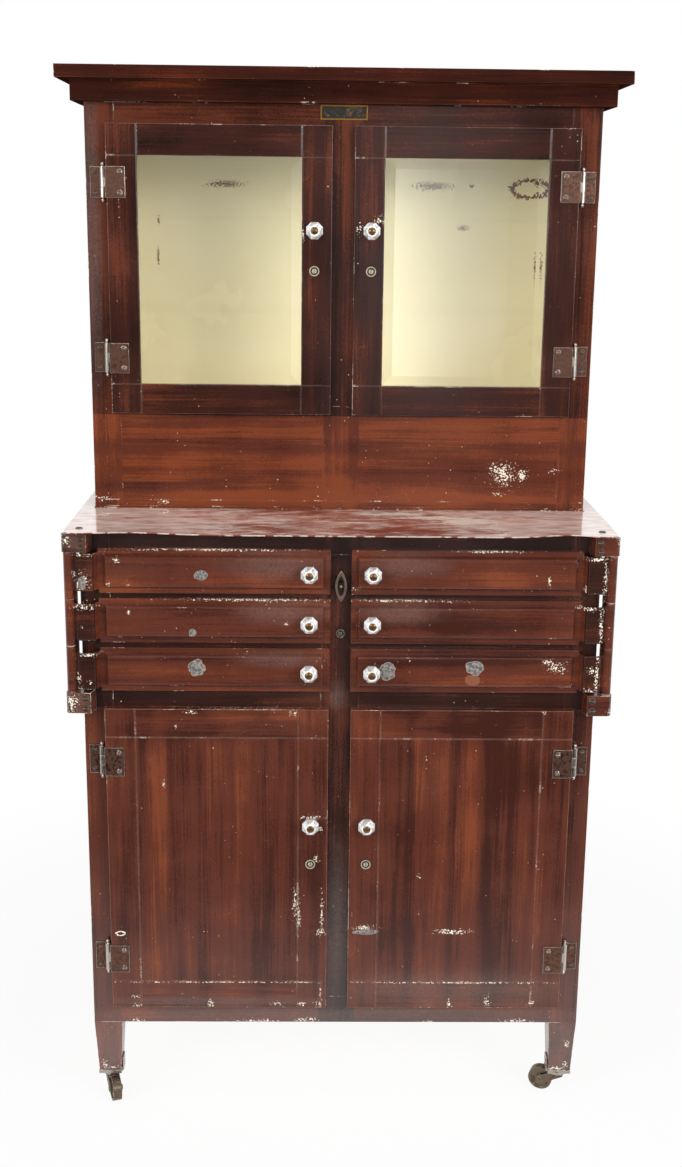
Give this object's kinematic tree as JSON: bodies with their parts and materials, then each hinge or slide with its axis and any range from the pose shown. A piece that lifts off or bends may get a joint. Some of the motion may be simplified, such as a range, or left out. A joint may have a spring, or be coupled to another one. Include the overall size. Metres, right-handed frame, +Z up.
{
  "type": "dental cabinet",
  "caption": "Steel dental cabinet with a glazed upper case on a counter, swing-out drawers on corner rods, a two-door cupboard and tapered legs on casters.",
  "frame": {"origin": "on the floor under the middle of the cabinet's bounding box", "axes": "+Z up, +Y to the back, +X to the right seen from the front"},
  "size_m": [0.876, 0.42, 1.6588],
  "materials": {
    "mahogany_enamel": "grained brown enamel, semi-gloss and worn",
    "counter_enamel": "worn brown enamel, chipped at the edge",
    "cream_enamel": "aged cream enamel",
    "pane_glass": "clear bevelled plate",
    "knob_glass": "clear faceted glass",
    "hinge_steel": "dull and spotted with rust",
    "lock_steel": "dull nickel",
    "plate_brass": "dark plate with a brass border",
    "caster_iron": "dull, rusted at the edges"
  },
  "bodies": {
    "cabinet": {"base_side_panels": "mahogany_enamel", "base_back_panel": "mahogany_enamel", "base_face_frame": "mahogany_enamel", "base_floor_panel": "cream_enamel", "drawer_deck": "cream_enamel", "counter_top": "counter_enamel", "pivot_brackets": "mahogany_enamel", "pivot_rods": "mahogany_enamel", "tapered_legs": "mahogany_enamel", "caster_sockets": "caster_iron", "upper_side_panels": "mahogany_enamel", "upper_back_panel": "cream_enamel", "upper_face_frame": "mahogany_enamel", "upper_floor_panel": "cream_enamel", "cornice": "mahogany_enamel", "glass_shelves": "pane_glass", "shelf_rests": "cream_enamel", "hinge_frame_leaves": "hinge_steel", "screws": "hinge_steel", "nameplate": "plate_brass"},
    "upper_left_door": {"upper_left_door_frame": "mahogany_enamel", "upper_left_door_knob": "knob_glass", "upper_left_door_hinge_leaves": "hinge_steel", "upper_left_door_glass": "pane_glass"},
    "upper_left_door_lock": {"upper_left_door_lock_plug": "lock_steel"},
    "lower_left_door": {"lower_left_door_panel": "mahogany_enamel", "lower_left_door_knob": "knob_glass", "lower_left_door_hinge_leaves": "hinge_steel"},
    "lower_left_door_lock": {"lower_left_door_lock_plug": "lock_steel"},
    "low_left_drawer": {"low_left_drawer": "mahogany_enamel", "low_left_drawer_knob": "knob_glass"},
    "middle_left_drawer": {"middle_left_drawer": "mahogany_enamel", "middle_left_drawer_knob": "knob_glass"},
    "top_left_drawer": {"top_left_drawer": "mahogany_enamel", "top_left_drawer_knob": "knob_glass"},
    "upper_right_door": {"upper_right_door_frame": "mahogany_enamel", "upper_right_door_knob": "knob_glass", "upper_right_door_hinge_leaves": "hinge_steel", "upper_right_door_glass": "pane_glass"},
    "upper_right_door_lock": {"upper_right_door_lock_plug": "lock_steel"},
    "lower_right_door": {"lower_right_door_panel": "mahogany_enamel", "lower_right_door_knob": "knob_glass", "lower_right_door_hinge_leaves": "hinge_steel"},
    "lower_right_door_lock": {"lower_right_door_lock_plug": "lock_steel"},
    "low_right_drawer": {"low_right_drawer": "mahogany_enamel", "low_right_drawer_knob": "knob_glass"},
    "middle_right_drawer": {"middle_right_drawer": "mahogany_enamel", "middle_right_drawer_knob": "knob_glass"},
    "top_right_drawer": {"top_right_drawer": "mahogany_enamel", "top_right_drawer_knob": "knob_glass"},
    "turn_button": {"turn_button": "hinge_steel"},
    "drawer_lock": {"drawer_lock_plug": "lock_steel"},
    "front_left_caster": {"front_left_caster_fork": "caster_iron"},
    "front_left_wheel": {"front_left_caster_wheel": "caster_iron"},
    "front_right_caster": {"front_right_caster_fork": "caster_iron"},
    "front_right_wheel": {"front_right_caster_wheel": "caster_iron"},
    "rear_left_caster": {"rear_left_caster_fork": "caster_iron"},
    "rear_left_wheel": {"rear_left_caster_wheel": "caster_iron"},
    "rear_right_caster": {"rear_right_caster_fork": "caster_iron"},
    "rear_right_wheel": {"rear_right_caster_wheel": "caster_iron"}
  },
  "joints": [
    {"name": "upper_left_door_hinge", "type": "hinge", "parent": "cabinet", "child": "upper_left_door", "pos_m": [-0.373, 0.0042, 1.35334], "axis": [0, 0, -1], "range_deg": [0, 120]},
    {"name": "upper_left_door_lock_turn", "type": "hinge", "parent": "upper_left_door", "child": "upper_left_door_lock", "pos_m": [-0.0445, -0.005, 1.35684], "axis": [0, -1, 0], "range_deg": [0, 90]},
    {"name": "lower_left_door_hinge", "type": "hinge", "parent": "cabinet", "child": "lower_left_door", "pos_m": [-0.373, -0.1748, 0.43484], "axis": [0, 0, -1], "range_deg": [0, 95]},
    {"name": "lower_left_door_lock_turn", "type": "hinge", "parent": "lower_left_door", "child": "lower_left_door_lock", "pos_m": [-0.0445, -0.184, 0.43284], "axis": [0, -1, 0], "range_deg": [0, 90]},
    {"name": "low_left_drawer_swing", "type": "hinge", "parent": "cabinet", "child": "low_left_drawer", "pos_m": [-0.4155, -0.183, 0.75584], "axis": [0, 0, -1], "range_deg": [0, 100]},
    {"name": "middle_left_drawer_swing", "type": "hinge", "parent": "cabinet", "child": "middle_left_drawer", "pos_m": [-0.4155, -0.183, 0.83434], "axis": [0, 0, -1], "range_deg": [0, 100]},
    {"name": "top_left_drawer_swing", "type": "hinge", "parent": "cabinet", "child": "top_left_drawer", "pos_m": [-0.4155, -0.183, 0.91284], "axis": [0, 0, -1], "range_deg": [0, 100]},
    {"name": "upper_right_door_hinge", "type": "hinge", "parent": "cabinet", "child": "upper_right_door", "pos_m": [0.373, 0.0042, 1.35334], "axis": [0, 0, 1], "range_deg": [0, 120]},
    {"name": "upper_right_door_lock_turn", "type": "hinge", "parent": "upper_right_door", "child": "upper_right_door_lock", "pos_m": [0.0445, -0.005, 1.35684], "axis": [0, 1, 0], "range_deg": [0, 90]},
    {"name": "lower_right_door_hinge", "type": "hinge", "parent": "cabinet", "child": "lower_right_door", "pos_m": [0.373, -0.1748, 0.43484], "axis": [0, 0, 1], "range_deg": [0, 95]},
    {"name": "lower_right_door_lock_turn", "type": "hinge", "parent": "lower_right_door", "child": "lower_right_door_lock", "pos_m": [0.0445, -0.184, 0.43284], "axis": [0, 1, 0], "range_deg": [0, 90]},
    {"name": "low_right_drawer_swing", "type": "hinge", "parent": "cabinet", "child": "low_right_drawer", "pos_m": [0.4155, -0.183, 0.75584], "axis": [0, 0, 1], "range_deg": [0, 100]},
    {"name": "middle_right_drawer_swing", "type": "hinge", "parent": "cabinet", "child": "middle_right_drawer", "pos_m": [0.4155, -0.183, 0.83434], "axis": [0, 0, 1], "range_deg": [0, 100]},
    {"name": "top_right_drawer_swing", "type": "hinge", "parent": "cabinet", "child": "top_right_drawer", "pos_m": [0.4155, -0.183, 0.91284], "axis": [0, 0, 1], "range_deg": [0, 100]},
    {"name": "turn_button_turn", "type": "hinge", "parent": "cabinet", "child": "turn_button", "pos_m": [0, -0.184, 0.89284], "axis": [0, -1, 0], "range_deg": [-90, 90]},
    {"name": "drawer_lock_turn", "type": "hinge", "parent": "cabinet", "child": "drawer_lock", "pos_m": [0, -0.17, 0.81384], "axis": [0, 1, 0], "range_deg": [0, 90]},
    {"name": "front_left_swivel", "type": "hinge", "parent": "cabinet", "child": "front_left_caster", "pos_m": [-0.377, -0.147, 0.03784], "axis": [0, 0, 1], "continuous": true},
    {"name": "front_left_roll", "type": "hinge", "parent": "front_left_caster", "child": "front_left_wheel", "pos_m": [-0.368, -0.17351, 0.02], "axis": [0.9469, 0.3216, 0], "continuous": true},
    {"name": "front_right_swivel", "type": "hinge", "parent": "cabinet", "child": "front_right_caster", "pos_m": [0.377, -0.147, 0.03784], "axis": [0, 0, 1], "continuous": true},
    {"name": "front_right_roll", "type": "hinge", "parent": "front_right_caster", "child": "front_right_wheel", "pos_m": [0.35104, -0.13651, 0.02], "axis": [-0.3745, -0.9272, 0], "continuous": true},
    {"name": "rear_left_swivel", "type": "hinge", "parent": "cabinet", "child": "rear_left_caster", "pos_m": [-0.377, 0.187, 0.03784], "axis": [0, 0, 1], "continuous": true},
    {"name": "rear_left_roll", "type": "hinge", "parent": "rear_left_caster", "child": "rear_left_wheel", "pos_m": [-0.357, 0.1674, 0.02], "axis": [0.6999, 0.7142, 0], "continuous": true},
    {"name": "rear_right_swivel", "type": "hinge", "parent": "cabinet", "child": "rear_right_caster", "pos_m": [0.377, 0.187, 0.03784], "axis": [0, 0, 1], "continuous": true},
    {"name": "rear_right_roll", "type": "hinge", "parent": "rear_right_caster", "child": "rear_right_wheel", "pos_m": [0.357, 0.1674, 0.02], "axis": [0.6999, -0.7142, 0], "continuous": true}
  ]
}
